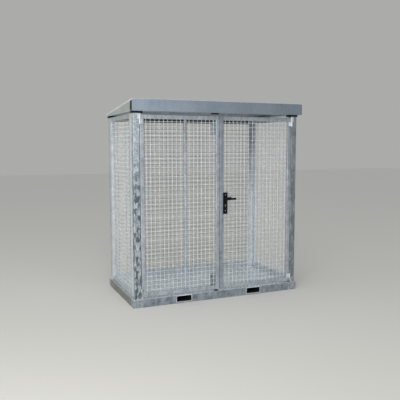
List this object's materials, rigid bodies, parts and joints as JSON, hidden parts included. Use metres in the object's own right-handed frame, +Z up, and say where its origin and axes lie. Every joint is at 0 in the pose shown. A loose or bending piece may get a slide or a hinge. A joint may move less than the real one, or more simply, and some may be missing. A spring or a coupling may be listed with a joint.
{
  "type": "gas cylinder storage cage",
  "caption": "Galvanised mesh cage for gas cylinders, with a sheet floor over fork pockets, a sloping roof and a pair of hinged mesh doors with a lever lock and shoot bolts.",
  "frame": {"origin": "on the floor, under the middle of the roof's outline", "axes": "+X to the right along the front, +Y from the doors to the back, +Z up"},
  "size_m": [2.1, 1.18, 2.269],
  "materials": {
    "galvanised_steel": "hot-dip galvanised, mottled spangle, satin",
    "galvanised_mesh": "hot-dip galvanised wire, satin",
    "floor_steel": "galvanised sheet, satin",
    "roof_steel": "galvanised sheet, smooth",
    "black_plastic": "matt black",
    "lock_brass": "nickel-plated brass, satin",
    "bolt_steel": "zinc-plated steel, satin"
  },
  "bodies": {
    "cage": {"base_front_channel": "galvanised_steel", "base_back_channel": "galvanised_steel", "base_side_channels": "galvanised_steel", "base_corner_feet": "galvanised_steel", "fork_pocket_left": "galvanised_steel", "fork_pocket_right": "galvanised_steel", "floor_bearers": "galvanised_steel", "floor_sheet": "floor_steel", "front_left_post": "galvanised_steel", "front_right_post": "galvanised_steel", "back_left_post": "galvanised_steel", "back_right_post": "galvanised_steel", "back_middle_post": "galvanised_steel", "post_pads": "black_plastic", "side_panel_stiles": "galvanised_steel", "side_top_rails": "galvanised_steel", "side_bottom_rails": "galvanised_steel", "left_side_mesh": "galvanised_mesh", "right_side_mesh": "galvanised_mesh", "back_top_rails": "galvanised_steel", "back_bottom_rails": "galvanised_steel", "back_left_mesh": "galvanised_mesh", "back_right_mesh": "galvanised_mesh", "roof_sheet": "roof_steel", "roof_front_fascia": "roof_steel", "roof_back_edge": "roof_steel", "roof_side_plates": "roof_steel", "roof_bearers": "galvanised_steel", "bolt_keeper": "galvanised_steel", "post_hinge_knuckles": "galvanised_steel"},
    "left_door": {"left_door_stiles": "galvanised_steel", "left_door_rails": "galvanised_steel", "left_door_mesh": "galvanised_mesh", "left_door_knuckles": "galvanised_steel", "left_door_bolt_plates": "galvanised_steel"},
    "right_door": {"right_door_stiles": "galvanised_steel", "right_door_rails": "galvanised_steel", "right_door_mesh": "galvanised_mesh", "right_door_knuckles": "galvanised_steel", "lock_case": "galvanised_steel", "lock_backplates": "black_plastic", "lock_cylinder": "lock_brass"},
    "lever": {"lever_handle": "black_plastic"},
    "top_bolt": {"top_bolt": "bolt_steel"},
    "bottom_bolt": {"bottom_bolt": "bolt_steel"}
  },
  "joints": [
    {"name": "left_door_hinge", "type": "hinge", "parent": "cage", "child": "left_door", "pos_m": [-0.9465, -0.53, 1.1], "axis": [0, 0, -1], "range_deg": [0, 180]},
    {"name": "right_door_hinge", "type": "hinge", "parent": "cage", "child": "right_door", "pos_m": [0.9465, -0.53, 1.1], "axis": [0, 0, 1], "range_deg": [0, 180]},
    {"name": "lever_turn", "type": "hinge", "parent": "right_door", "child": "lever", "pos_m": [0.066, -0.505, 1.17], "axis": [0, 1, 0], "range_deg": [0, 45], "stiffness_Nm_per_rad": 1.5, "springref_deg": -34.38},
    {"name": "top_bolt_slide", "type": "slide", "parent": "left_door", "child": "top_bolt", "axis": [0, 0, 1], "range_m": [0, 0.024]},
    {"name": "bottom_bolt_slide", "type": "slide", "parent": "left_door", "child": "bottom_bolt", "axis": [0, 0, -1], "range_m": [0, 0.024]}
  ]
}
